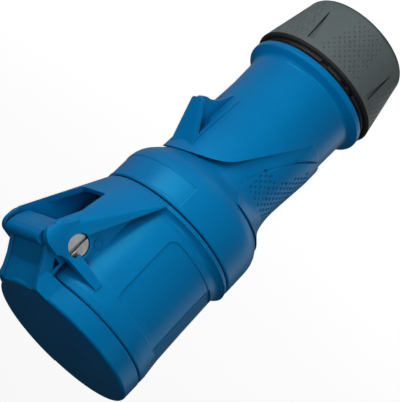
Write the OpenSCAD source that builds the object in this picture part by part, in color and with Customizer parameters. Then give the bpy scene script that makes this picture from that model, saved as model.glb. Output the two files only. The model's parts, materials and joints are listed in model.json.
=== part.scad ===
// Cable connector with a spring lid: two housings, contact insert, hinged lid and cable gland.
// It stands on its gland nut. Z runs along the axis to the lid, Y points to the hinge.
// All sizes are in millimetres.

/* [Collar barrel] */
// radius of the bore that takes the plug shroud
bore_r = 22.6; // [20:0.1:26]
// height of the flanges at the housing joint over the bore
joint_wall = 6.4; // [5.6:0.1:9]
// step from the joint flange down to the mouth
collar_drop = 0.3; // [0:0.1:2]
// step from the joint flange down to the barrel behind it
barrel_drop = 2; // [0.8:0.1:2.5]
// length of the barrel from the joint to the mouth
collar_len = 44.4; // [40:0.1:60]
// height of the bore floor above the joint
floor_h = 5; // [4:0.1:8]
// depth of the insert seat beside the bore
seat_step = 2; // [1.5:0.1:2.5]
// width of the joint filled by the seal
joint_gap = 0.5; // [0.3:0.1:1.2]
// width of the keyway in the bore
key_w = 6.2; // [4:0.1:8]
// depth of the keyway
key_d = 1.8; // [1:0.1:2.2]

/* [Lid] */
// step from the joint flange down to the lid
lid_drop = 0.2; // [0:0.1:2]
// height of the lid over its rim edge
lid_h = 7.8; // [6.5:0.1:12]
// gap between the mouth and the rim edge
lid_gap = 0.3; // [0.2:0.1:1.2]
// rounding of the edge of the face
lid_round = 1; // [0.5:0.1:4]
// thickness of the face
lid_plate = 3; // [2:0.1:4]
// thickness of the rim around the gasket
lid_wall = 2.3; // [1.5:0.1:2.8]
// height of the gasket groove above the rim edge
groove_h = 2.6; // [1.5:0.1:3.5]
// radial width of the gasket groove
groove_w = 3.6; // [2:0.1:4]

/* [Label pads] */
// distance of the pads from the joint
pad_start = 7; // [6:0.1:10]
// length of the pads
pad_len = 29.4; // [20:0.1:32]
// half width of the pads
pad_half = 12.7; // [8:0.1:16]
// corner rounding of the pads
pad_round = 3; // [1:0.1:5]
// depth of a pad
pad_depth = 0.35; // [0.1:0.05:0.8]
// direction of the flat below each pad
flat_angle = 131; // [125:1:140]
// depth of that flat
flat_depth = 0.85; // [0.3:0.05:1.2]

/* [Hinge] */
// distance of the pin from the bore wall
pivot_out = 8.8; // [8:0.1:12]
// distance of the pin below the mouth
pivot_down = 11.6; // [10:0.1:14]
// distance of the inner faces of the ears from the middle
ear_in = 11.9; // [10:0.1:13]
// rise of the ears above the front of the roof
nose_rise = 0.8; // [0:0.1:1.2]
// rounding of the ears at their front
ear_round = 4.5; // [3:0.1:5]
// thickness of the ears
ear_t = 3.6; // [3:0.1:5]
// angle from the hinge side to the end of the leg below the boss
leg_angle = 50; // [42:1:54]
// radius of the boss around the pin
boss_r = 5.4; // [4.8:0.1:6]
// thickness of the roof
roof_t = 2.6; // [2:0.1:3]
// half angle of the roof at the joint flange
roof_angle = 44; // [36:1:52]
// height of the roof over the pin
roof_rise = 10.8; // [9.6:0.1:12]
// height of the rounded shoulders beside the roof
shoulder_h = 5.5; // [3:0.1:7]
// height of the upright faces below the shoulders
side_h = 2.2; // [1.2:0.1:4]
// thickness of the recessed webs
web_t = 2.4; // [1:0.1:3]
// radius of the moulded ring on the webs
mark_r = 1.9; // [1:0.1:2.4]
// radius of the pin
pin_r = 2; // [1.5:0.1:2.4]
// radius of the pin head
pin_head_r = 3.95; // [3.2:0.05:4.4]
// depth of the sunk pin head
pin_head_h = 1.6; // [1.3:0.05:2]
// width of the pin slot
slot_w = 1.2; // [0.6:0.1:1.6]
// depth of the pin slot
slot_d = 1.1; // [0.4:0.1:1.2]

/* [Lid lever] */
// gap between the lever and the ears
lever_gap = 0.4; // [0.2:0.05:0.8]
// width of a cheek ridge
ridge_w = 2; // [1:0.1:3]
// half width of the hollow for the spring
hollow_half = 7.4; // [6.9:0.1:8.5]
// radius of the lugs around the pin
hub_r = 4.8; // [4:0.1:5]
// radius of the nose of the hood
nose_r = 2.3; // [1.4:0.1:2.8]
// half width of the lever at the lid
foot_half = 15; // [13:0.1:17]

/* [Grip] */
// length of the grip between the gland and the joint
grip_len = 76.3; // [60:0.1:100]
// radius of the waist
waist_r = 20.25; // [18.5:0.05:23]
// radius of the flare before the gland
flare_r = 25.3; // [23.5:0.1:30]
// reach of the rim over the collar of the gland nut
rim_back = 1.5; // [1:0.1:1.8]
// reach of the rim towards the grip
rim_front = 1.6; // [1:0.1:2.5]
// rounding of the rear edge of the rim
rim_round = 1.4; // [0.5:0.1:1.6]
// rounding of the front edge of the rim
edge_round = 0.6; // [0.3:0.1:1]
// radius of the hollow in front of the rim
rim_fillet = 2; // [1:0.1:3]
// end of the hollow, ahead of the start of the grip
rim_foot = 4.4; // [3.5:0.1:6]
// wall of the grip
grip_wall = 2.6; // [2:0.1:3]
// height by which the dotted panels stand out
panel_h = 0.8; // [0.3:0.05:1.2]
// height of the curved bead on the panels
bead_h = 0.35; // [0.15:0.05:0.8]
// half width of the plain strip between the dotted panels
panel_gap = 5; // [2:0.5:10]
// depth of the flat band on the shoulder
band_depth = 0.2; // [0.1:0.05:0.4]
// thickness of the front wall of the hook fin
fin_wall = 1.8; // [1.2:0.1:3]
// thickness of the middle web of the fin
fin_web = 3; // [1.5:0.1:4]
// height of the fin over the waist
fin_h = 11.2; // [8:0.1:14]

/* [Gland] */
// radius of the cable entry
entry_r = 9; // [6:0.1:11]
// outside radius of the threaded spigot
spigot_r = 19.4; // [18.5:0.1:21]
// wall of the spigot
spigot_wall = 4.2; // [3:0.1:5]
// clearance between nut core and spigot
thread_gap = 0.3; // [0.15:0.05:0.6]
// wall of the nut core
core_wall = 1.3; // [0.8:0.1:3]
// height of the slotted collar of the core over its wall
core_rim = 3.2; // [2.4:0.1:4]
// length of that collar
core_collar = 1.6; // [1.2:0.1:3]
// gap between that collar and the flare
flare_gap = 2.1; // [1.9:0.1:3]
// length of the nut grip
nut_len = 26.5; // [22:0.1:35]
// wall of the nut grip at its front edge
nut_front_wall = 5.1; // [4:0.1:7]
// wall of the nut grip behind its rear rounding
nut_rear_wall = 1; // [0.8:0.1:3]
// rear rounding of the nut
nut_round = 3.5; // [2:0.1:5]
// thickness of the rear wall of the nut
nut_wall = 3.2; // [2:0.1:5]
// depth of the wedge grooves in the nut
groove_depth = 0.9; // [0.4:0.1:1.2]
// thickness of the pressure ring
ring_h = 3; // [2:0.1:4]
// thickness of the rim of the clamp cage
cage_rim = 1.6; // [1:0.1:3]
// length of the fingers of that cage
finger_len = 7; // [5:0.1:9]
// length of the cable seal
seal_len = 13; // [8:0.1:16]

/* [Contacts] */
// gap between the insert and the bore, taken by the plug shroud
shroud_gap = 5; // [4.5:0.1:6]
// distance of the insert face below the mouth
insert_down = 3.4; // [2:0.1:6]
// radius of the circle through the contacts
contact_circle_r = 9; // [8:0.1:10]
// bore radius of the line and neutral contacts
pole_r = 2.55; // [2:0.05:3]
// bore radius of the earth contact
earth_r = 3.05; // [2.5:0.05:3.5]
// wall of the contact sleeves
sleeve_wall = 1.1; // [0.8:0.1:1.6]
// height of the turned lip at the mouth of the sleeves
lip_h = 0.4; // [0.2:0.1:0.8]
// wall of that lip
lip_wall = 0.6; // [0.4:0.1:0.8]
// length of the threaded ring behind the insert
ring_len = 5.6; // [4:0.1:5.8]
// width of the spanner notches in that ring
notch_w = 2.4; // [1.6:0.1:3]
// depth of the contact bores
contact_depth = 28; // [20:1:30]
// length of the terminals behind the joint
terminal_len = 14; // [12:0.5:18]

/* [Hidden] */
$fn = 96;
gap = 0.05;
seat_gap = 0.03;
pin_gap = 0.06;
ring_gap = 0.1;
head_gap = 0.3;
hub_gap = 0.4;

joint_r = bore_r + joint_wall;
collar_r = joint_r - collar_drop;
barrel_r = joint_r - barrel_drop;
lid_r = joint_r - lid_drop;
seat_r = bore_r + seat_step;
rear_bore_r = seat_r + 1.4;
spigot_bore_r = spigot_r - spigot_wall;
spigot_z = nut_wall + ring_gap + ring_h + ring_gap + cage_rim;
core_in_r = spigot_r + thread_gap;
core_r = core_in_r + core_wall;
core_collar_r = core_r + core_rim;
core_top_z = nut_len + core_collar;
nut_front_r = core_r + nut_front_wall;
nut_rear_r = core_r + nut_rear_wall;
ring_r = spigot_r - 1.2;

flare_z = core_top_z + flare_gap;
rear_top_z = flare_z + grip_len;
joint_z = rear_top_z + joint_gap;
floor_z = joint_z + floor_h;
collar_z = joint_z + collar_len;
lid_rim_z = collar_z + lid_gap;
lid_face_z = lid_rim_z + lid_h;
insert_r = bore_r - shroud_gap;
insert_top_z = collar_z - insert_down;
sleeve_top_z = insert_top_z - 1.6;
terminal_z = joint_z - terminal_len;

pivot_y = bore_r + pivot_out;
pivot_z = collar_z - pivot_down;
ear_out = ear_in + ear_t;
cheek_out = ear_in - lever_gap;
flat_half = ear_in + 0.3;
panel_half = cheek_out - ridge_w;
hood_half = cheek_out - 1.1;
roof_y = pivot_y + roof_rise;
roof_z = pivot_z + 1.9;
roof_r = joint_r + 0.15;
groove_out_r = lid_r - lid_wall;
groove_in_r = groove_out_r - groove_w;
groove_z = lid_rim_z + groove_h;
barrel_lean = atan((collar_r - barrel_r) / collar_len);

// height on the grip, from 0 at the flare to 1 at the joint
function grip_z(share) = flare_z + share * grip_len;
// point beside the hinge pin
function at_pin(out, up) = [pivot_y + out, pivot_z + up];
// section of the roof in X and Y: flat top, rounded shoulders and upright sides
function roof_section(half_w, top, side) = concat(
    [[-half_w, top - shoulder_h - side], [half_w, top - shoulder_h - side]],
    [for (a = [0:10:90]) [flat_half + (half_w - flat_half) * cos(a), top - shoulder_h * (1 - sin(a))]],
    [for (a = [90:-10:0]) [-flat_half - (half_w - flat_half) * cos(a), top - shoulder_h * (1 - sin(a))]]
);
// points of an arc
function arc(c, r, from, to, n) =
    [for (i = [0:n]) let (a = from + (to - from) * i / n) [c[0] + r * cos(a), c[1] + r * sin(a)]];

neck_pts = [
    [waist_r + 1.35, grip_z(0.207)], [waist_r + 1.35, grip_z(0.26)], [waist_r + 1.3, grip_z(0.332)],
    [waist_r + 0.85, grip_z(0.41)], [waist_r + 0.35, grip_z(0.489)], [waist_r + 0.05, grip_z(0.548)],
    [waist_r, grip_z(0.587)], [waist_r + 0.2, grip_z(0.626)], [waist_r + 0.7, grip_z(0.663)],
    [waist_r + 1.45, grip_z(0.695)], [waist_r + 2.55, grip_z(0.718)], [joint_r - 4.9, grip_z(0.739)],
    [joint_r - 3.4, grip_z(0.7615)], [joint_r - 2.1, grip_z(0.7825)], [joint_r - 1.1, grip_z(0.805)],
    [joint_r - 0.5, grip_z(0.828)]
];
shell_pts = [
    [waist_r + 1.25, grip_z(0.181)], [waist_r + 1.45, grip_z(0.26)], [waist_r + 1.75, grip_z(0.338)],
    [waist_r + 2.05, grip_z(0.417)], [waist_r + 2.55, grip_z(0.522)], [waist_r + 2.95, grip_z(0.626)],
    [waist_r + 3.15, grip_z(0.705)], [waist_r + 3.25, grip_z(0.744)]
];
wave_pts = [
    [24.5, grip_z(0.725)], [23.5, grip_z(0.7235)], [22.2, grip_z(0.713)], [20.7, grip_z(0.7025)],
    [19.1, grip_z(0.6895)], [17.2, grip_z(0.6725)], [15.3, grip_z(0.6515)], [13.7, grip_z(0.6265)],
    [12.3, grip_z(0.5975)], [10.1, grip_z(0.545)], [7, grip_z(0.477)], [3.7, grip_z(0.406)],
    [0, grip_z(0.3275)], [-3.9, grip_z(0.2465)]
];
panel_pts = [
    [4.8, grip_z(0.7575)], [5.4, grip_z(0.7115)], [5.7, grip_z(0.6725)], [5.6, grip_z(0.6395)],
    [5, grip_z(0.6)], [4, grip_z(0.566)], [2.6, grip_z(0.5215)], [1.1, grip_z(0.4755)],
    [-1.4, grip_z(0.4205)], [-4.2, grip_z(0.3645)], [-8.5, grip_z(0.304)], [-12.5, grip_z(0.253)],
    [-40, grip_z(0.253)], [-40, grip_z(0.7575)]
];
bead_pts = [
    [-0.4, grip_z(0.574)], [-3.2, grip_z(0.485)], [-7.3, grip_z(0.396)], [-10.1, grip_z(0.3305)],
    [-16, grip_z(0.2845)], [-16.7, grip_z(0.273)], [-11, grip_z(0.3175)], [-8.2, grip_z(0.383)],
    [-4, grip_z(0.472)]
];
notch_pts = [
    [-3.5, grip_z(0.262)], [-3.1, grip_z(0.37)], [-7, grip_z(0.309)], [-12.4, grip_z(0.247)],
    [-3.7, grip_z(0.247)]
];
side_pts = [
    [barrel_r, joint_z + 5.6], [barrel_r + 0.4, joint_z + 21], [barrel_r + 0.9, joint_z + 34],
    [collar_r - 0.35, collar_z - 5.9], [collar_r, collar_z - 2.9]
];
lug_pts = [
    at_pin(7.8, -1.75), at_pin(8.8, 1.2), at_pin(9.2, 3.6), at_pin(8.9, 4.6), at_pin(5.1, 9.2),
    at_pin(1.9, 13), [lid_r + 0.6, lid_face_z - 0.5], [lid_r + 0.1, lid_face_z], [lid_r - 3.5, lid_face_z],
    [lid_r - 3.5, lid_rim_z], [lid_r - 1, lid_rim_z], at_pin(-3.2, 7.4), at_pin(-3.6, 2.8),
    at_pin(-2.8, -0.8), at_pin(0, -4.6), at_pin(3.6, -3.6)
];
hood_pts = concat(
    [at_pin(5.5, -2.4), at_pin(7.8, -1.75), at_pin(9.3, 0.8), at_pin(10.2, 3), at_pin(10.7, 5.2)],
    arc(at_pin(8.4, 6.7), nose_r, 5, 120, 8),
    [at_pin(7.2, 7.6), at_pin(5.8, 7.4), at_pin(3.9, 8.8), at_pin(0.9, 12.6), [lid_r - 0.5, lid_face_z - 0.7],
     [lid_r - 1, lid_face_z], [lid_r - 3.5, lid_face_z], [lid_r - 3.5, lid_rim_z + 0.6], at_pin(-0.8, 11.1),
     at_pin(2.1, 7.4), at_pin(6.2, 5.5), at_pin(7.3, 4.2), at_pin(6.6, 1.7)]
);
ear_pts = concat(
    [at_pin(-1.4, -5.2), at_pin(roof_rise - 3.9, -5.2), at_pin(roof_rise - 0.2, 1.4)],
    arc(at_pin(roof_rise + nose_rise - ear_round, 8.1 - ear_round), ear_round, 5, 90, 9),
    [at_pin(3.2, 8.1), at_pin(2.2, 7.2), at_pin(0.6, 6.4), at_pin(-2.4, 5.8), at_pin(-2.4, 0.2)]
);
contact_sites = [[90 + 60, pole_r], [90 - 60, pole_r], [-90, earth_r]];

// profile in Y and Z, drawn along X from a to b
module along_x(a, b) {
    translate([a, 0, 0]) rotate([90, 0, 90]) linear_extrude(b - a) children();
}

// the same shape on both sides of the middle
module both_sides() {
    children();
    mirror([1, 0, 0]) children();
}

module pin_cylinder(r, a, b) {
    translate([a, pivot_y, pivot_z]) rotate([0, 90, 0]) cylinder(r = r, h = b - a);
}

module ring(r_in, r_out, low, high) {
    rotate_extrude() translate([r_in, low]) square([r_out - r_in, high - low]);
}

// slab at the joint flange and front section, joined to one sloping block
module roof_block(r, half_angle, half_w, top, side, ahead) {
    hull() {
        translate([0, 0, joint_z + 0.5 - ahead]) linear_extrude(1)
            polygon([for (a = [-half_angle:4:half_angle]) [r * sin(a), r * cos(a)]]);
        translate([0, 0, roof_z - 2]) linear_extrude(2 + ahead) polygon(roof_section(half_w, top, side));
    }
}

module roof() {
    difference() {
        roof_block(roof_r, roof_angle, ear_out, roof_y, side_h, 0);
        roof_block(roof_r - roof_t, roof_angle - 4, ear_out - roof_t, roof_y - roof_t, side_h + 12, 1);
    }
}

module roof_window() {
    rear_z = joint_z + 12;
    wide_z = pivot_z - 9.2;
    rotate([90, 0, 0]) translate([0, 0, -roof_y - 5]) linear_extrude(roof_y + 5 - collar_r - 0.5)
        polygon([
            [-ear_in, collar_z + 1], [ear_in, collar_z + 1], [ear_in, wide_z], [7.2, rear_z], [-7.2, rear_z],
            [-ear_in, wide_z]
        ]);
}

// ear with pin boss, sloping leg and recessed web
module ear() {
    intersection() {
        along_x(ear_in, ear_out) polygon(ear_pts);
        translate([0, 0, pivot_z - 10]) linear_extrude(20)
            polygon(roof_section(ear_out, roof_y + nose_rise, pivot_y));
    }
    pin_cylinder(boss_r, ear_in, ear_out);
    hull() {
        translate([ear_in, pivot_y - 2.4, pivot_z + 1.4]) cube([ear_t, 2.5, 4.4]);
        rotate([0, 0, -leg_angle]) translate([-3.9, barrel_r - 1.2, pivot_z + 3.6]) cube([3.9, 3.1, 2.9]);
    }
    along_x(ear_in, ear_in + web_t)
        polygon([[barrel_r - 3.5, joint_z + 0.8], [barrel_r - 2.2, joint_z + 0.8], [roof_y - 1.5, roof_z],
                 [pivot_y, pivot_z + 3.7], [barrel_r - 3.5, pivot_z + 3.7]]);
    translate([ear_in + web_t - 0.2, pivot_y - 5.7, pivot_z - 6.4]) rotate([0, 90, 0])
        ring(mark_r - 0.5, mark_r, 0, 0.5);
}

// room outside the wall of the barrel, begun by sink below its surface
module barrel_profile(sink) {
    polygon(concat([for (p = side_pts) [p[0] - sink, p[1]]],
                   [[collar_r + 5, collar_z - 2.9], [collar_r + 5, joint_z + 5.6]]));
}

module barrel() {
    rotate_extrude() polygon(concat(
        [[seat_r, joint_z - 6], [rear_bore_r - 0.1, joint_z - 6], [rear_bore_r - 0.1, joint_z],
         [joint_r - 0.4, joint_z], [joint_r, joint_z + 0.4], [joint_r, joint_z + 1.4]],
        arc([barrel_r + 3.4, joint_z + 4.8], 3.4, 250, 182, 6),
        side_pts,
        [[collar_r, collar_z - 0.4], [collar_r - 0.4, collar_z], [bore_r + 0.5, collar_z],
         [bore_r, collar_z - 0.5], [bore_r, floor_z], [seat_r, floor_z]]
    ));
}

// sunk field with rounded corners on the side of the barrel
module label_pad() {
    low = joint_z + pad_start;
    high = low + pad_len;
    intersection() {
        rotate_extrude() barrel_profile(pad_depth);
        along_x(0, joint_r + 10)
            polygon(concat(arc([pad_half - pad_round, low + pad_round], pad_round, -90, 0, 8),
                           arc([pad_half - pad_round, high - pad_round], pad_round, 0, 90, 8),
                           [[-pad_half, high], [-pad_half, low]]));
    }
}

module front_housing() {
    color([0, 0.43, 0.66]) difference() {
        union() {
            barrel();
            difference() {
                union() {
                    roof();
                    both_sides() ear();
                }
                translate([0, 0, joint_z - 1]) cylinder(r = barrel_r - 1.5, h = 60);
            }
        }
        roof_window();
        pin_cylinder(hub_r + hub_gap, -ear_in, ear_in);
        pin_cylinder(pin_r + seat_gap, -ear_out - 1, ear_out + 1);
        both_sides() pin_cylinder(pin_head_r + head_gap, ear_out - 1.9, ear_out + 1);
        translate([-key_w / 2, -bore_r - key_d, floor_z]) cube([key_w, 5, 60]);
        both_sides() label_pad();
        both_sides() rotate([0, 0, 90 - flat_angle])
            translate([barrel_r - flat_depth, 0, joint_z + pad_start - 0.4])
                rotate([0, barrel_lean, 0]) translate([0, -15, 0]) cube([10, 30, pad_len]);
    }
}

module housing_seal() {
    color([0.03, 0.03, 0.03]) ring(rear_bore_r, joint_r - 1.1, rear_top_z, joint_z);
}

// front wall, middle web and side ribs of the hook fin
module hook_fin() {
    foot_y = waist_r + 2.6;
    foot_z = grip_z(0.677);
    top_y = waist_r + fin_h;
    top_z = grip_z(0.49);
    wall_len = sqrt((top_y - foot_y) * (top_y - foot_y) + (foot_z - top_z) * (foot_z - top_z));
    wall_lean = atan((foot_z - top_z) / (top_y - foot_y));
    translate([0, foot_y, foot_z]) rotate([-wall_lean, 0, 0]) translate([0, 0, -fin_wall])
        linear_extrude(fin_wall)
            polygon([[-6.6, -2.2], [6.6, -2.2], [5.7, 3], [3, wall_len - 0.8], [2.4, wall_len],
                     [-2.4, wall_len], [-3, wall_len - 0.8], [-5.7, 3]]);
    along_x(-fin_web / 2, fin_web / 2)
        polygon([[waist_r, grip_z(0.665)], [foot_y, grip_z(0.655)], [top_y - 0.6, top_z - 0.4],
                 [top_y - 1, top_z - 1.6], [top_y - 1.9, top_z - 2.5], [top_y - 3.4, top_z - 3.1],
                 [top_y - 5.2, top_z - 4.1], [top_y - 6.7, top_z - 5.9], [top_y - 7.8, top_z - 8.2],
                 [top_y - 8.9, top_z - 11.2], [waist_r, top_z - 14]]);
    both_sides() intersection() {
        rotate_extrude()
            polygon([[waist_r - 1, grip_z(0.351)], [waist_r + 2.2, grip_z(0.351)],
                     [waist_r + 3.4, grip_z(0.522)], [waist_r + 4, grip_z(0.665)],
                     [waist_r - 1, grip_z(0.665)]]);
        along_x(4.7, 5.8) polygon([[waist_r - 6, grip_z(0.35)], [waist_r + 6, grip_z(0.35)],
                                   [waist_r + 6, grip_z(0.655)], [waist_r - 6, grip_z(0.655)]]);
    }
}

// surface of the neck, raised by h, inside a shape in Y and Z
module on_neck(h, shape, from_x) {
    both_sides() intersection() {
        rotate_extrude()
            polygon(concat([[waist_r - 5, grip_z(0.207)]], [for (p = neck_pts) [p[0] + h, p[1]]],
                           [[waist_r - 5, grip_z(0.828)]]));
        along_x(from_x, 45) polygon(shape);
    }
}

module grip_outside() {
    rotate_extrude() polygon(concat(
        [[spigot_bore_r - 1, spigot_z], [spigot_r - 0.8, spigot_z], [spigot_r, spigot_z + 0.8],
         [spigot_r, flare_z - rim_back], [flare_r - rim_round - 0.2, flare_z - rim_back]],
        arc([flare_r - rim_round, flare_z - rim_back + rim_round], rim_round, -75, 0, 5),
        arc([flare_r - edge_round, flare_z + rim_front - edge_round], edge_round, 0, 62, 4),
        arc([waist_r + 1.6 + rim_fillet, flare_z + rim_foot], rim_fillet, 242, 180, 6),
        [[waist_r + 1.45, grip_z(0.15)]],
        neck_pts,
        [[joint_r - 0.2, grip_z(0.852)], [joint_r - 0.1, grip_z(0.875)], [joint_r, rear_top_z - 0.5],
         [joint_r - 0.4, rear_top_z], [spigot_bore_r - 1, rear_top_z]]
    ));
    intersection() {
        rotate_extrude()
            polygon(concat([[waist_r - 5, grip_z(0.181)]], shell_pts, [[waist_r - 5, grip_z(0.744)]]));
        along_x(-45, 45)
            polygon(concat([[45, grip_z(0.725)]], wave_pts, [[-3.9, grip_z(0.12)], [45, grip_z(0.12)]]));
    }
    on_neck(panel_h, panel_pts, panel_gap);
    on_neck(panel_h + bead_h, bead_pts, panel_gap);
    on_neck(0.4, notch_pts, panel_gap);
    hook_fin();
}

module rear_housing() {
    color([0, 0.43, 0.66]) difference() {
        grip_outside();
        rotate_extrude() polygon([
            [0, spigot_z - 1], [spigot_bore_r, spigot_z - 1], [spigot_bore_r, grip_z(0.05)],
            [waist_r - grip_wall, grip_z(0.13)], [waist_r - grip_wall, grip_z(0.666)],
            [rear_bore_r, grip_z(0.85)], [rear_bore_r, rear_top_z + 1], [0, rear_top_z + 1]
        ]);
        rotate([0, 0, 90 - 50]) rotate_extrude(angle = 100)
            polygon([[joint_r - 0.1 - band_depth, grip_z(0.866)], [joint_r + 3, grip_z(0.866)],
                     [joint_r + 3, rear_top_z - 1.4], [joint_r - band_depth, rear_top_z - 1.4]]);
    }
}

module insert_base() {
    color([0.1, 0.1, 0.11]) difference() {
        union() {
            translate([0, 0, joint_z]) cylinder(r = seat_r - gap, h = floor_h);
            translate([0, 0, joint_z - 4]) cylinder(r = insert_r, h = 5);
        }
        for (site = contact_sites) rotate([0, 0, site[0]]) translate([contact_circle_r, 0, joint_z - 5])
            cylinder(r = site[1] + sleeve_wall + seat_gap, h = 20);
    }
}

module contact_insert() {
    color([0.1, 0.1, 0.11]) difference() {
        rotate_extrude() polygon([
            [0, floor_z], [insert_r, floor_z], [insert_r, insert_top_z - 0.8], [insert_r - 0.8, insert_top_z],
            [0, insert_top_z]
        ]);
        for (site = contact_sites) rotate([0, 0, site[0]]) translate([contact_circle_r, 0, 0]) {
            translate([0, 0, floor_z - 1])
                cylinder(r = site[1] + sleeve_wall + seat_gap, h = sleeve_top_z - lip_h - floor_z + 1);
            translate([0, 0, sleeve_top_z - 1]) cylinder(r = site[1] + lip_wall + seat_gap, h = 6);
        }
    }
}

module insert_ring() {
    color([0.1, 0.1, 0.11]) difference() {
        ring(insert_r + 0.2, seat_r - gap, joint_z - ring_len, joint_z);
        for (a = [0:60:300]) rotate([0, 0, a])
            translate([insert_r + 2.2, -notch_w / 2, joint_z - ring_len - 0.4])
                cube([seat_r, notch_w, notch_w]);
    }
}

module contact_sleeve(site) {
    r_out = site[1] + sleeve_wall;
    rotate([0, 0, site[0]]) translate([contact_circle_r, 0, 0]) difference() {
        union() {
            translate([0, 0, terminal_z]) cylinder(r = r_out, h = sleeve_top_z - lip_h - terminal_z);
            translate([0, 0, terminal_z]) cylinder(r = site[1] + lip_wall, h = sleeve_top_z - terminal_z);
        }
        translate([0, 0, sleeve_top_z - contact_depth]) cylinder(r = site[1], h = contact_depth + 1);
        translate([0, 0, terminal_z - 1]) cylinder(r = 1.7, h = 11);
        translate([0, 0, terminal_z + 4.5]) rotate([0, 90, 0]) cylinder(r = 1.55, h = 10);
        for (a = [0, 90]) rotate([0, 0, a + 45]) translate([-5, -0.3, sleeve_top_z - 14]) cube([10, 0.6, 15]);
    }
}

module terminal_screw(site) {
    r_out = site[1] + sleeve_wall;
    rotate([0, 0, site[0]]) translate([contact_circle_r, 0, terminal_z + 4.5]) rotate([0, 90, 0])
        difference() {
            union() {
                translate([0, 0, 1.75]) cylinder(r = 1.5, h = r_out);
                translate([0, 0, r_out]) cylinder(r = 2.6, h = 2.2);
            }
            translate([-4, -0.4, r_out + 1.2]) cube([8, 0.8, 2]);
        }
}

module contact_sleeve_line() { color([0.78, 0.62, 0.3]) contact_sleeve(contact_sites[0]); }
module contact_sleeve_neutral() { color([0.78, 0.62, 0.3]) contact_sleeve(contact_sites[1]); }
module contact_sleeve_earth() { color([0.78, 0.62, 0.3]) contact_sleeve(contact_sites[2]); }
module terminal_screw_line() { color([0.7, 0.7, 0.7]) terminal_screw(contact_sites[0]); }
module terminal_screw_neutral() { color([0.7, 0.7, 0.7]) terminal_screw(contact_sites[1]); }
module terminal_screw_earth() { color([0.7, 0.7, 0.7]) terminal_screw(contact_sites[2]); }

module hinge_pin() {
    seat_x = ear_out - 1.9;
    color([0.7, 0.7, 0.7]) difference() {
        union() {
            pin_cylinder(pin_r, -ear_out + 0.5, seat_x + 0.5);
            pin_cylinder(pin_head_r, seat_x, seat_x + pin_head_h);
        }
        translate([seat_x + pin_head_h - slot_d, pivot_y - slot_w / 2, pivot_z - 6]) cube([3, slot_w, 12]);
    }
}

module pin_clip() {
    color([0.45, 0.45, 0.45]) difference() {
        pin_cylinder(pin_head_r - 0.3, -ear_out + 1.1, -ear_out + 1.9);
        pin_cylinder(pin_r, -ear_out, -ear_out + 3);
        translate([-ear_out, pivot_y, pivot_z - 0.9]) cube([3, 6, 1.8]);
    }
}

module lid_spring() {
    wire_r = 0.65;
    coil_r = pin_r + 1.3;
    turn_gap = 1.24;
    leg_len = 8.8;
    color([0.6, 0.6, 0.62]) {
        translate([0, pivot_y, pivot_z]) rotate([0, 90, 0]) rotate_extrude() for (i = [-5:5])
            translate([coil_r, i * turn_gap]) circle(r = wire_r);
        translate([-5 * turn_gap, pivot_y - coil_r, pivot_z - leg_len])
            cylinder(r = wire_r - 0.05, h = leg_len);
        translate([5 * turn_gap, pivot_y + coil_r, pivot_z]) cylinder(r = wire_r - 0.05, h = 6.2);
    }
}

module clamp_cage() {
    finger_top = spigot_z + finger_len;
    color([0.85, 0.85, 0.83]) difference() {
        rotate_extrude() polygon([
            [entry_r + 0.6, spigot_z - cage_rim], [ring_r, spigot_z - cage_rim], [ring_r, spigot_z],
            [spigot_bore_r - gap, spigot_z], [spigot_bore_r - gap, finger_top],
            [spigot_bore_r - 2.6, finger_top], [entry_r + 0.6, finger_top - 3]
        ]);
        for (a = [0:30:330]) rotate([0, 0, a]) translate([entry_r - 1, -0.5, spigot_z + 0.6])
            cube([spigot_bore_r, 1, finger_len]);
    }
}

module cable_seal() {
    low = spigot_z + finger_len;
    high = low + seal_len;
    color([0.03, 0.03, 0.03]) rotate_extrude() polygon([
        [entry_r + 0.2, low], [spigot_bore_r - gap, low], [spigot_bore_r - gap, high],
        [entry_r + 1.2, high], [entry_r + 0.2, high - 1.5], [entry_r + 0.2, high - 4],
        [entry_r + 1, high - 5], [entry_r + 1, low + 3], [entry_r + 0.2, low + 2]
    ]);
}

module pressure_ring() {
    color([0.85, 0.85, 0.83]) ring(entry_r + 0.4, ring_r, nut_wall + ring_gap, nut_wall + ring_gap + ring_h);
}

module gland_nut_core() {
    color([0.02, 0.02, 0.02]) difference() {
        rotate_extrude() polygon([
            [core_in_r, nut_wall + ring_gap], [core_r, nut_wall + ring_gap], [core_r, nut_len],
            [core_collar_r, nut_len], [core_collar_r, core_top_z - 0.5], [core_collar_r - 0.5, core_top_z],
            [core_in_r, core_top_z]
        ]);
        for (turn = [0:120:240]) for (a = [50, 73.5, 84]) rotate([0, 0, 90 - a - turn])
            translate([core_collar_r - 1.6, -1.5, nut_len + 0.2]) cube([4, 3, core_collar]);
    }
}

// slanted wedge groove that follows the cone of the nut
module nut_groove(angle, slant) {
    cone = atan((nut_front_r - nut_rear_r) / (nut_len - nut_round - 0.8));
    mid_z = nut_len * 0.585;
    mid_r = nut_rear_r + (mid_z - nut_round) * tan(cone);
    rotate([0, 0, 90 - angle]) translate([mid_r, 0, mid_z]) rotate([0, cone, 0]) rotate([slant, 0, 0])
        translate([-groove_depth, 0, 0]) rotate([90, 0, 90]) linear_extrude(4)
            polygon([[-1.3, 7.6], [1.3, 7.6], [0.15, -8], [-0.15, -8]]);
}

module gland_nut_grip() {
    color([0.33, 0.37, 0.37]) difference() {
        rotate_extrude() polygon(concat(
            [[entry_r, 0], [nut_rear_r - nut_round, 0]],
            arc([nut_rear_r - nut_round, nut_round], nut_round, -75, 0, 6),
            [[nut_front_r, nut_len - 0.8], [nut_front_r - 0.8, nut_len], [core_r, nut_len],
             [core_r, nut_wall], [entry_r, nut_wall]]
        ));
        for (a = [0:120:240]) {
            nut_groove(a + 21.5, 15);
            nut_groove(a + 101, -14);
        }
    }
}

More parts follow.
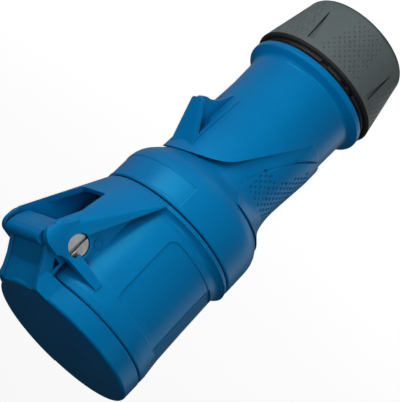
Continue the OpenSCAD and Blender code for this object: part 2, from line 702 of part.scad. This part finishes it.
module lid_cap() {
    rotate_extrude() polygon(concat(
        [[0, lid_face_z], [lid_r - lid_round, lid_face_z]],
        arc([lid_r - lid_round, lid_face_z - lid_round], lid_round, 75, 0, 6),
        [[lid_r, lid_rim_z + 0.5], [lid_r - 0.5, lid_rim_z], [groove_out_r, lid_rim_z],
         [groove_out_r, groove_z], [groove_in_r, groove_z], [groove_in_r, lid_rim_z + 0.6],
         [groove_in_r - 1.4, lid_rim_z + 0.6], [groove_in_r - 1.4, lid_face_z - lid_plate],
         [0, lid_face_z - lid_plate]]
    ));
}

// the lever widens to the rim of the lid
module lever_foot() {
    low = lid_rim_z + 0.4;
    intersection() {
        translate([0, 0, low]) linear_extrude(lid_face_z - low)
            polygon([[hollow_half, lid_r - 7], [foot_half, lid_r - 4.2], [cheek_out, pivot_y - 0.4],
                     [cheek_out, pivot_y + 3], [hollow_half, pivot_y + 3]]);
        along_x(0, foot_half)
            polygon([[lid_r - 7, low], at_pin(1.9, low - pivot_z), at_pin(1.9, 13),
                     [lid_r + 0.6, lid_face_z - 0.5], [lid_r + 0.1, lid_face_z], [lid_r - 7, lid_face_z]]);
    }
}

module lid_lever() {
    difference() {
        union() {
            both_sides() along_x(hollow_half, cheek_out) polygon(lug_pts);
            both_sides() lever_foot();
            along_x(-hood_half, hood_half) polygon(hood_pts);
        }
        along_x(-cheek_out - 1, cheek_out + 1)
            polygon([at_pin(1, 7.6), at_pin(-2.1, 11.1), at_pin(-2.2, 7.7)]);
        along_x(-panel_half, panel_half)
            polygon([at_pin(6.6, 7.45), at_pin(5.7, 7.45), at_pin(3.9, 8.8), at_pin(0.9, 12.6),
                     [lid_r - 0.5, lid_face_z - 0.7], [lid_r - 1, lid_face_z + 0.5], at_pin(0.6, 20.2)]);
        translate([0, 0, pivot_z - 20]) cylinder(r = collar_r + 0.5, h = lid_rim_z - pivot_z + 20);
        translate([0, 0, lid_rim_z - 2]) cylinder(r = groove_out_r + 0.6, h = groove_h + 2);
    }
    both_sides() pin_cylinder(hub_r, hollow_half, cheek_out);
}

module lid() {
    color([0, 0.43, 0.66]) difference() {
        union() {
            lid_cap();
            lid_lever();
        }
        pin_cylinder(pin_r + pin_gap, -20, 20);
        translate([0, -166, lid_face_z - 0.3]) cylinder(r = 150, h = 2);
    }
}

module lid_gasket() {
    color([0.03, 0.03, 0.03]) ring(groove_in_r + gap, groove_out_r - gap, collar_z + gap, groove_z);
}

rear_housing();
front_housing();
housing_seal();
insert_base();
contact_insert();
insert_ring();
contact_sleeve_line();
contact_sleeve_neutral();
contact_sleeve_earth();
terminal_screw_line();
terminal_screw_neutral();
terminal_screw_earth();
hinge_pin();
pin_clip();
lid_spring();
clamp_cage();
cable_seal();
pressure_ring();
gland_nut_core();
gland_nut_grip();
lid();
lid_gasket();
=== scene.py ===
import json
import math

import bpy
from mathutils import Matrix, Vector


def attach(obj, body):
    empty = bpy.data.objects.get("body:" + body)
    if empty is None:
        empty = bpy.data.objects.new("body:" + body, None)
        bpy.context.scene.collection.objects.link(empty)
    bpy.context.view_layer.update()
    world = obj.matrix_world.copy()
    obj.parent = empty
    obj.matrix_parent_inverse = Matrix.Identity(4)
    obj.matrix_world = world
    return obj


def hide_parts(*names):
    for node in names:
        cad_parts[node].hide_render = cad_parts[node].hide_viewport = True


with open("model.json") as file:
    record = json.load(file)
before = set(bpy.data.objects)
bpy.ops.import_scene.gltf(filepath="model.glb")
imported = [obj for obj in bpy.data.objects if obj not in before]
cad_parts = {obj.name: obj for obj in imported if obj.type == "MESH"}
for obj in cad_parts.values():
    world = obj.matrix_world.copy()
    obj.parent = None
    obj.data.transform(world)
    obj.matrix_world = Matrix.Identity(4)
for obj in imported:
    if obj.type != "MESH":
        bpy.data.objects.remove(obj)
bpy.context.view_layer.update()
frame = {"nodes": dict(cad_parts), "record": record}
scene = bpy.context.scene
nodes = frame["nodes"]
print("frame loaded:", len(nodes), "nodes")


def newGroup(name, inputs, outputs):
    # inputs are (name, socket type, start value), outputs are (name, socket type)
    tree = bpy.data.node_groups.new(name, "ShaderNodeTree")
    for label, kind, value in inputs:
        socket = tree.interface.new_socket(name=label, in_out="INPUT", socket_type=kind)
        socket.default_value = value
    for label, kind in outputs:
        tree.interface.new_socket(name=label, in_out="OUTPUT", socket_type=kind)
    groupIn = addNode(tree, "NodeGroupInput", (-1200, 0))
    groupOut = addNode(tree, "NodeGroupOutput", (900, 0))
    return tree, groupIn.outputs, groupOut.inputs


def addNode(tree, kind, place, **settings):
    node = tree.nodes.new(kind)
    node.location = place
    for key, value in settings.items():
        setattr(node, key, value)
    return node


def feed(tree, socket, value):
    # another socket is linked, a number or a colour stays on the input itself
    if isinstance(value, (int, float, tuple)):
        socket.default_value = value
    else:
        tree.links.new(value, socket)


def addMath(tree, operation, *operands, place=(0, 0)):
    node = addNode(tree, "ShaderNodeMath", place, operation=operation)
    for socket, operand in zip(node.inputs, operands):
        feed(tree, socket, operand)
    return node.outputs[0]


def addRamp(tree, value, low, high, place=(0, 0)):
    # smooth step from 0 at low to 1 at high
    node = addNode(tree, "ShaderNodeMapRange", place, interpolation_type="SMOOTHSTEP")
    feed(tree, node.inputs["Value"], value)
    feed(tree, node.inputs["From Min"], low)
    feed(tree, node.inputs["From Max"], high)
    return node.outputs["Result"]


mixSockets = {"share": 0, "first": 6, "second": 7, "result": 2}  # the ones a colour mix uses


def addMix(tree, share, first, second, place=(0, 0), blend="MIX"):
    # colour mix, from the first colour to the second by share
    node = addNode(tree, "ShaderNodeMix", place, data_type="RGBA", blend_type=blend)
    feed(tree, node.inputs[mixSockets["share"]], share)
    feed(tree, node.inputs[mixSockets["first"]], first)
    feed(tree, node.inputs[mixSockets["second"]], second)
    return node.outputs[mixSockets["result"]]


def addNoise(tree, scale, detail, place):
    # noise in Object coordinates
    coords = addNode(tree, "ShaderNodeTexCoord", (place[0] - 500, place[1])).outputs["Object"]
    noise = addNode(tree, "ShaderNodeTexNoise", place)
    noise.inputs["Detail"].default_value = detail
    tree.links.new(coords, noise.inputs["Vector"])
    feed(tree, noise.inputs["Scale"], scale)
    return noise.outputs["Fac"]


# fine grain, soft clouds of tone and a slightly uneven gloss of moulded plastic
mouldTree, mouldIn, mouldOut = newGroup(
    "mouldedSurface",
    [("Grain Scale", "NodeSocketFloat", 2500.0), ("Cloud Scale", "NodeSocketFloat", 45.0),
     ("Dark", "NodeSocketColor", (0.0, 0.1, 0.3, 1)), ("Light", "NodeSocketColor", (0.0, 0.2, 0.5, 1)),
     ("Gloss", "NodeSocketFloat", 0.35), ("Gloss Spread", "NodeSocketFloat", 0.08)],
    [("Color", "NodeSocketColor"), ("Roughness", "NodeSocketFloat"), ("Height", "NodeSocketFloat")])
toneSpan = (0.3, 0.7)  # noise values of the dark and the light tone
cloudPart = 0.5  # share of the clouds in the uneven gloss
evenLevel = 0.75  # mean of the grain plus that share of the clouds
cloud = addNoise(mouldTree, mouldIn["Cloud Scale"], detail=4, place=(-600, 200))
grain = addNoise(mouldTree, mouldIn["Grain Scale"], detail=2, place=(-600, -200))
toneShare = addRamp(mouldTree, cloud, *toneSpan, place=(-300, 200))
tone = addMix(mouldTree, toneShare, mouldIn["Dark"], mouldIn["Light"])
mottled = addMath(mouldTree, "MULTIPLY_ADD", cloud, cloudPart, grain)
uneven = addMath(mouldTree, "SUBTRACT", mottled, evenLevel)
gloss = addMath(mouldTree, "MULTIPLY_ADD", uneven, mouldIn["Gloss Spread"], mouldIn["Gloss"])
mouldTree.links.new(tone, mouldOut["Color"])
mouldTree.links.new(gloss, mouldOut["Roughness"])
mouldTree.links.new(grain, mouldOut["Height"])

# rounded edge normals, and a mask of the edges, where the colour gets a painted highlight
edgeTree, edgeIn, edgeOut = newGroup(
    "softEdges", [("Radius", "NodeSocketFloat", 0.0004)],
    [("Normal", "NodeSocketVector"), ("Edge", "NodeSocketFloat")])
flatSpan = (0.75, 0.98)  # cosine between the rounded and the plain normal
edgeBevel = addNode(edgeTree, "ShaderNodeBevel", (-400, 0), samples=8)
edgeTree.links.new(edgeIn["Radius"], edgeBevel.inputs["Radius"])
plain = addNode(edgeTree, "ShaderNodeNewGeometry", (-400, -250))
alike = addNode(edgeTree, "ShaderNodeVectorMath", (-100, -150), operation="DOT_PRODUCT")
edgeTree.links.new(edgeBevel.outputs["Normal"], alike.inputs[0])
edgeTree.links.new(plain.outputs["Normal"], alike.inputs[1])
edgeTree.links.new(edgeBevel.outputs["Normal"], edgeOut["Normal"])
flatShare = addRamp(edgeTree, alike.outputs["Value"], *flatSpan)
edgeTree.links.new(addMath(edgeTree, "SUBTRACT", 1.0, flatShare), edgeOut["Edge"])

# painted shade: the colour darkens in corners and recesses, where little of the surroundings is open
creviceTree, creviceIn, creviceOut = newGroup(
    "paintedCreviceShade", [("Reach", "NodeSocketFloat", 0.005)], [("Crevice", "NodeSocketFloat")])
openSpan = (0.75, 0.2)  # open share of the surroundings where the shade starts and where it is full
shadeTint = (0.1, 0.2, 0.25, 1)  # a full shade multiplies the colour by this
corner = addNode(creviceTree, "ShaderNodeAmbientOcclusion", (-300, 0), samples=8)
creviceTree.links.new(creviceIn["Reach"], corner.inputs["Distance"])
shade = addRamp(creviceTree, corner.outputs["AO"], *openSpan)
creviceTree.links.new(shade, creviceOut["Crevice"])

print("shader groups ready")


def newMaterial(name, finish):
    # finish holds the values of one surface, as named in finishes below
    mat = bpy.data.materials.new(name)
    mat.use_nodes = True
    tree = mat.node_tree
    shader = tree.nodes["Principled BSDF"]
    surface = addNode(tree, "ShaderNodeGroup", (-1000, 100), node_tree=mouldTree)
    for label in ("Grain Scale", "Cloud Scale", "Gloss", "Gloss Spread"):
        surface.inputs[label].default_value = finish[label]
    surface.inputs["Dark"].default_value = (*finish["Dark"], 1)
    surface.inputs["Light"].default_value = (*finish["Light"], 1)
    edges = addNode(tree, "ShaderNodeGroup", (-1000, -300), node_tree=edgeTree)
    edges.inputs["Radius"].default_value = finish["Edge"]
    paintedCreviceShade = addNode(tree, "ShaderNodeGroup", (-1000, 400), node_tree=creviceTree)
    # painted shade: the crevice mask darkens the colour towards shadeTint by the finish's Shade
    depth = finish.get("Shade", 0.0)
    shadeShare = addMath(tree, "MULTIPLY", paintedCreviceShade.outputs["Crevice"], depth, place=(-800, 500))
    shaded = addMix(tree, shadeShare, surface.outputs["Color"], shadeTint, (-750, 300), "MULTIPLY")
    # painted highlight: the edges are lightened towards the finish's edge colour
    highlightShare = addMath(tree, "MULTIPLY", edges.outputs["Edge"], finish["EdgeHighlightShare"], place=(-800, 0))
    highlighted = addMix(tree, highlightShare, shaded, (*finish["EdgeHighlight"], 1), (-500, 200))
    bump = addNode(tree, "ShaderNodeBump", (-300, -200))
    bump.inputs["Distance"].default_value = finish["Depth"]
    bump.inputs["Strength"].default_value = 1
    tree.links.new(surface.outputs["Height"], bump.inputs["Height"])
    tree.links.new(edges.outputs["Normal"], bump.inputs["Normal"])
    tree.links.new(highlighted, shader.inputs["Base Color"])
    tree.links.new(surface.outputs["Roughness"], shader.inputs["Roughness"])
    tree.links.new(bump.outputs["Normal"], shader.inputs["Normal"])
    shader.inputs["Metallic"].default_value = finish.get("Metal", 0.0)
    shader.inputs["Specular IOR Level"].default_value = finish.get("Shine", 0.5)
    shader.inputs["Specular Tint"].default_value = (*finish.get("Tint", (1, 1, 1)), 1)
    return mat


# Dark and Light are the clouds of tone, Tint the reflections; the edge colour is a painted highlight, Shade
# the strength of the painted crevice shade
# Depth of the grain and Edge radius are in metres
finishes = {
    "bluePlastic": {"Dark": (0.0, 0.148, 0.385), "Light": (0.0, 0.165, 0.42), "EdgeHighlight": (0.02, 0.2, 0.45),
                    "EdgeHighlightShare": 0.5, "Shade": 0.9, "Grain Scale": 2600, "Cloud Scale": 40, "Gloss": 0.33,
                    "Gloss Spread": 0.12, "Depth": 0.00001, "Edge": 0.0004, "Shine": 0.5,
                    "Tint": (0.04, 0.6, 0.92)},
    "nutPlastic": {"Dark": (0.092, 0.114, 0.115), "Light": (0.11, 0.136, 0.137), "EdgeHighlight": (0.14, 0.16, 0.16),
                   "EdgeHighlightShare": 0.5, "Shade": 1.0, "Grain Scale": 3200, "Cloud Scale": 60, "Gloss": 0.55,
                   "Gloss Spread": 0.15, "Depth": 0.00002, "Edge": 0.0004, "Shine": 0.3},
    "blackPlastic": {"Dark": (0.005, 0.005, 0.006), "Light": (0.008, 0.008, 0.009),
                     "EdgeHighlight": (0.02, 0.02, 0.02), "EdgeHighlightShare": 0.4, "Grain Scale": 2600, "Cloud Scale": 50,
                     "Gloss": 0.42, "Gloss Spread": 0.1, "Depth": 0.00001, "Edge": 0.0003, "Shine": 0.4},
    "insertPlastic": {"Dark": (0.015, 0.015, 0.016), "Light": (0.022, 0.022, 0.024),
                      "EdgeHighlight": (0.035, 0.035, 0.036), "EdgeHighlightShare": 0.4, "Grain Scale": 2600, "Cloud Scale": 50,
                      "Gloss": 0.5, "Gloss Spread": 0.1, "Depth": 0.00001, "Edge": 0.0003},
    "palePlastic": {"Dark": (0.6, 0.6, 0.57), "Light": (0.68, 0.68, 0.65), "EdgeHighlight": (0.72, 0.72, 0.7),
                    "EdgeHighlightShare": 0.3, "Grain Scale": 2600, "Cloud Scale": 50, "Gloss": 0.45, "Gloss Spread": 0.1,
                    "Depth": 0.00001, "Edge": 0.0003},
    "blackRubber": {"Dark": (0.006, 0.006, 0.006), "Light": (0.01, 0.01, 0.01), "EdgeHighlight": (0.02, 0.02, 0.02),
                    "EdgeHighlightShare": 0.3, "Grain Scale": 1800, "Cloud Scale": 50, "Gloss": 0.8, "Gloss Spread": 0.15,
                    "Depth": 0.00002, "Edge": 0.0002, "Shine": 0.2},
    "brass": {"Dark": (0.52, 0.36, 0.12), "Light": (0.62, 0.44, 0.17), "EdgeHighlight": (0.75, 0.58, 0.3),
              "EdgeHighlightShare": 0.6, "Grain Scale": 3000, "Cloud Scale": 90, "Gloss": 0.28, "Gloss Spread": 0.15,
              "Depth": 0.000004, "Edge": 0.0002, "Metal": 1.0},
    "platedSteel": {"Dark": (0.42, 0.42, 0.41), "Light": (0.58, 0.58, 0.57), "EdgeHighlight": (0.7, 0.7, 0.68),
                    "EdgeHighlightShare": 0.7, "Grain Scale": 2400, "Cloud Scale": 300, "Gloss": 0.38, "Gloss Spread": 0.2,
                    "Depth": 0.000008, "Edge": 0.0002, "Metal": 1.0, "Shade": 0.7},
}
materials = {name: newMaterial(name, finish) for name, finish in finishes.items()}

# painted shade: the nut's front rim, which faces away from the lamps, goes near black between these heights
# in metres
nutRimShade = {"starts": 0.0253, "full": 0.0258, "color": (0.012, 0.014, 0.015, 1)}
nutTree = materials["nutPlastic"].node_tree
nutColor = nutTree.nodes["Principled BSDF"].inputs["Base Color"]
nutCoords = addNode(nutTree, "ShaderNodeTexCoord", (-1100, 700))
nutAxes = addNode(nutTree, "ShaderNodeSeparateXYZ", (-900, 700))
nutTree.links.new(nutCoords.outputs["Object"], nutAxes.inputs[0])
rimShadeShare = addRamp(nutTree, nutAxes.outputs["Z"], nutRimShade["starts"], nutRimShade["full"], (-600, 700))
shadedRim = addMix(nutTree, rimShadeShare, nutColor.links[0].from_socket, nutRimShade["color"], (-250, 400))
nutTree.links.new(shadedRim, nutColor)

slotMaterial = {"blue_plastic": "bluePlastic", "grey_plastic": "nutPlastic", "black_plastic": "blackPlastic",
                "insert_plastic": "insertPlastic", "pale_plastic": "palePlastic",
                "black_rubber": "blackRubber", "contact_brass": "brass", "screw_steel": "platedSteel"}
for part in frame["record"]["subparts"]:
    mesh = nodes[part["node"]].data
    mesh.materials.clear()
    mesh.materials.append(materials[slotMaterial[part["material_slot"]]])
print("materials set")


def selectOnly(piece):
    bpy.ops.object.select_all(action="DESELECT")
    piece.select_set(True)
    bpy.context.view_layer.objects.active = piece


def latticeSpots(values, inField):
    # diamond lattice around the Z axis, angle in degrees from the hinge side and height in mm
    firstRow = math.ceil(values["low"] / values["rowStep"])
    lastRow = math.floor(values["high"] / values["rowStep"])
    for step in range(round(360 / values["turnStep"])):
        angle = step * values["turnStep"] + values["turnFrom"]
        for row in range(firstRow, lastRow + 1):
            along = row * values["rowStep"]
            if (step + row) % 2 == 1 and inField(angle, along):
                yield angle, along


mergeReach = 0.000002  # metres, joins the split vertices of a CAD mesh
rayStart = 0.1  # metres from the axis, outside the part
ballMesh = {"segments": 12, "ring_count": 8}


def cutDimples(nodeName, values, inField):
    # the copy of a CAD piece gets a dimple wherever the lattice falls in its field
    source = nodes[nodeName]
    piece = bpy.data.objects.new(values["name"], source.data.copy())
    scene.collection.objects.link(piece)
    selectOnly(piece)
    bpy.ops.mesh.customdata_custom_splitnormals_clear()
    bpy.ops.object.mode_set(mode="EDIT")
    bpy.ops.mesh.select_all(action="SELECT")
    bpy.ops.mesh.remove_doubles(threshold=mergeReach)
    bpy.ops.mesh.normals_make_consistent(inside=False)
    bpy.ops.object.mode_set(mode="OBJECT")
    bpy.ops.mesh.primitive_uv_sphere_add(radius=values["ball"], **ballMesh)
    ball = bpy.context.active_object
    balls = []
    for angle, along in latticeSpots(values, inField):
        turn = math.radians(angle)
        outward = Vector((math.sin(turn), math.cos(turn), 0))
        start = outward * rayStart + Vector((0, 0, along / 1000))  # mm to metres
        spot, normal = source.ray_cast(start, -outward)[1:3]
        copy = bpy.data.objects.new("dimple", ball.data.copy())
        scene.collection.objects.link(copy)
        copy.location = spot + normal * values["lift"]
        copy.rotation_euler = normal.to_track_quat("Z", "Y").to_euler()
        balls.append(copy)
    selectOnly(ball)
    bpy.ops.object.delete()
    for copy in balls:
        copy.select_set(True)
    bpy.context.view_layer.objects.active = balls[0]
    bpy.ops.object.join()
    cutter = bpy.context.active_object
    selectOnly(piece)
    cut = piece.modifiers.new("dimples", "BOOLEAN")
    cut.operation = "DIFFERENCE"
    cut.solver = "EXACT"
    cut.object = cutter
    bpy.ops.object.modifier_apply(modifier=cut.name)
    bpy.ops.object.shade_smooth_by_angle(angle=math.radians(values["smooth"]))
    selectOnly(cutter)
    bpy.ops.object.delete()
    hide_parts(nodeName)
    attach(piece, values["body"])
    print(values["name"], len(balls), "dimples")


# nut: a wide and a narrow dimpled field in each third, between the wedge grooves
# ball radius and lift are in metres, heights in mm; an edge is (angle, degrees per mm, height)
nutDimples = {"name": "nutSkin", "body": "nut", "slot": "grey_plastic", "smooth": 30,
              "turnStep": 360 / 126, "turnFrom": 0.7, "rowStep": 1.55, "low": 4.6, "high": 23.8,
              "ball": 0.00056, "lift": 0.0002, "third": 120, "thirdFrom": -40,
              "wideLeft": (45, -0.5, 7.3), "wideRight": (79, 0.85, 6), "narrowLeft": (-2, -0.93, 5.7),
              "narrowRight": (7.5, 1.05, 5.7), "groove": (11.3, 0.675, 6.5)}


def slopedEdge(edge, along):
    atAngle, slope, atAlong = edge
    return atAngle + slope * (along - atAlong)


def inNutField(angle, along):
    inThird = (angle - nutDimples["thirdFrom"]) % nutDimples["third"] + nutDimples["thirdFrom"]
    wideStart = slopedEdge(nutDimples["wideLeft"], along)
    wideEnd = slopedEdge(nutDimples["wideRight"], along)
    narrowStart = slopedEdge(nutDimples["narrowLeft"], along)
    narrowEnd = min(slopedEdge(nutDimples["narrowRight"], along), slopedEdge(nutDimples["groove"], along))
    return wideStart <= inThird <= wideEnd or narrowStart <= inThird <= narrowEnd


# grip: dimples below the bead of each side panel, with a few in front of where it starts
gripDimples = {"name": "gripSkin", "body": "housing", "slot": "blue_plastic", "smooth": 16,
               "turnStep": 360 / 92, "turnFrom": 0, "rowStep": 1.4, "low": 56, "high": 80,
               "ball": 0.00075, "lift": 0.0002, "bead": (96, -1.484, 73), "lowest": 150,
               "fewFrom": 80.5, "fewAlong": 69.5}


def inGripField(angle, along):
    side = abs((angle + 180) % 360 - 180)  # same for the left and the right
    belowBead = side > slopedEdge(gripDimples["bead"], along)
    few = side > gripDimples["fewFrom"] and along > gripDimples["fewAlong"]
    return side < gripDimples["lowest"] and (belowBead or few)


cutDimples("gland_nut_grip", nutDimples, inNutField)
cutDimples("rear_housing", gripDimples, inGripField)

aim = Vector((0, 0, 0.08))  # half the part's height


def areaLight(name, lamp):
    # turn is the angle from the hinge side, rise the height angle; a lamp with "down" lights the floor
    turn = math.radians(lamp["turn"])
    rise = math.radians(lamp["rise"])
    towards = Vector((math.sin(turn) * math.cos(rise), math.cos(turn) * math.cos(rise), math.sin(rise)))
    spot = aim + lamp["far"] * towards
    gaze = Vector((0, 0, -1)) if lamp.get("down") else aim - spot
    light = bpy.data.lights.new(name, "AREA")
    light.shape = "RECTANGLE"
    light.size, light.size_y = lamp["size"]
    light.energy = lamp["power"]
    holder = bpy.data.objects.new(name, light)
    scene.collection.objects.link(holder)
    holder.location = spot
    holder.rotation_euler = gaze.to_track_quat("-Z", "Y").to_euler()


# a low strip on the hinge side is the main light; far and size are in metres, power in watts
studio = {
    "hingeSide": {"turn": 12, "rise": -12.2, "far": 0.33, "size": (0.26, 0.02), "power": 0.375},
    "frontSide": {"turn": 112, "rise": 2, "far": 1.2, "size": (0.5, 0.3), "power": 1.6},
    "overhead": {"turn": -20, "rise": 45, "far": 1.2, "size": (0.5, 0.5), "power": 0.9},
    "nearFloor": {"turn": 62, "rise": 22, "far": 0.46, "size": (0.4, 0.3), "power": 1.25, "down": True},
    "hingeFloor": {"turn": 12, "rise": 20, "far": 0.45, "size": (0.5, 0.4), "power": 0.6, "down": True},
}
for lampName, lamp in studio.items():
    areaLight(lampName, lamp)

sky = {"color": (0.95, 0.98, 1.0, 1), "strength": 0.02}
world = bpy.data.worlds.new("studio")
scene.world = world
world.use_nodes = True
background = world.node_tree.nodes["Background"]
background.inputs["Color"].default_value = sky["color"]
background.inputs["Strength"].default_value = sky["strength"]

# pale floor, white to the camera; in reflections only, two sectors of it glow and give the part painted
# sheens
# a sector is (angles where it comes up, angles where it goes, share), in degrees from the hinge side
paleFloor = {"size": 8, "color": (0.8, 0.8, 0.8, 1), "rough": 0.9, "glow": 0.9, "least": 0.02,
             "sectors": [((18, 36), (76, 58), 0.7), ((140, 160), (194, 176), 0.85)]}
bpy.ops.object.select_all(action="DESELECT")
bpy.ops.mesh.primitive_plane_add(size=paleFloor["size"], location=(0, 0, 0))
floor = bpy.context.active_object
floor.name = "floor"
floorMat = bpy.data.materials.new("paleFloor")
floorMat.use_nodes = True
floorTree = floorMat.node_tree
floorShader = floorTree.nodes["Principled BSDF"]
floorShader.inputs["Base Color"].default_value = paleFloor["color"]
floorShader.inputs["Roughness"].default_value = paleFloor["rough"]
floorShader.inputs["Specular IOR Level"].default_value = 0.0
floorShader.inputs["Emission Color"].default_value = (1, 1, 1, 1)
rays = addNode(floorTree, "ShaderNodeLightPath", (-900, -200))
floorAxes = addNode(floorTree, "ShaderNodeSeparateXYZ", (-1100, -500))
floorCoords = addNode(floorTree, "ShaderNodeTexCoord", (-1300, -500))
floorTree.links.new(floorCoords.outputs["Object"], floorAxes.inputs[0])
floorTurn = addMath(floorTree, "ARCTAN2", floorAxes.outputs["X"], floorAxes.outputs["Y"], place=(-900, -500))
floorTurn = addMath(floorTree, "MULTIPLY", floorTurn, 180 / math.pi)
floorTurn = addMath(floorTree, "FLOORED_MODULO", floorTurn, 360)
# painted reflections: the floor glows for reflection rays only, faintly everywhere and more in the sectors
reflectionGlow = paleFloor["least"]
for rising, falling, share in paleFloor["sectors"]:
    opening = addRamp(floorTree, floorTurn, *rising)
    closing = addRamp(floorTree, floorTurn, *falling)
    sector = addMath(floorTree, "MULTIPLY", opening, closing)
    reflectionGlow = addMath(floorTree, "MAXIMUM", addMath(floorTree, "MULTIPLY", sector, share), reflectionGlow)
mirrored = addMath(floorTree, "MAXIMUM", rays.outputs["Is Glossy Ray"], rays.outputs["Is Transmission Ray"])
mirrored = addMath(floorTree, "MULTIPLY", mirrored, reflectionGlow)
seen = addMath(floorTree, "MAXIMUM", rays.outputs["Is Camera Ray"], mirrored)
glow = addMath(floorTree, "MULTIPLY", seen, paleFloor["glow"], place=(-300, -200))
floorTree.links.new(glow, floorShader.inputs["Emission Strength"])
floor.data.materials.append(floorMat)

scene.view_settings.view_transform = "Standard"
photoView = {"sensor": 36, "lens": 150.08, "shift": (0.00075, 0.00393), "clip": (0.05, 20),
             "spot": (0.46698, 0.30308, 0.29243), "turn": (-62.7443, 41.3615, -38.1932)}
camera = bpy.data.cameras.new("photoCamera")
camera.sensor_width = photoView["sensor"]
camera.lens = photoView["lens"]
camera.shift_x, camera.shift_y = photoView["shift"]
camera.clip_start, camera.clip_end = photoView["clip"]
cameraHolder = bpy.data.objects.new("photoCamera", camera)
scene.collection.objects.link(cameraHolder)
cameraHolder.location = photoView["spot"]
cameraHolder.rotation_euler = [math.radians(angle) for angle in photoView["turn"]]
scene.camera = cameraHolder
print("lights, floor and camera ready")
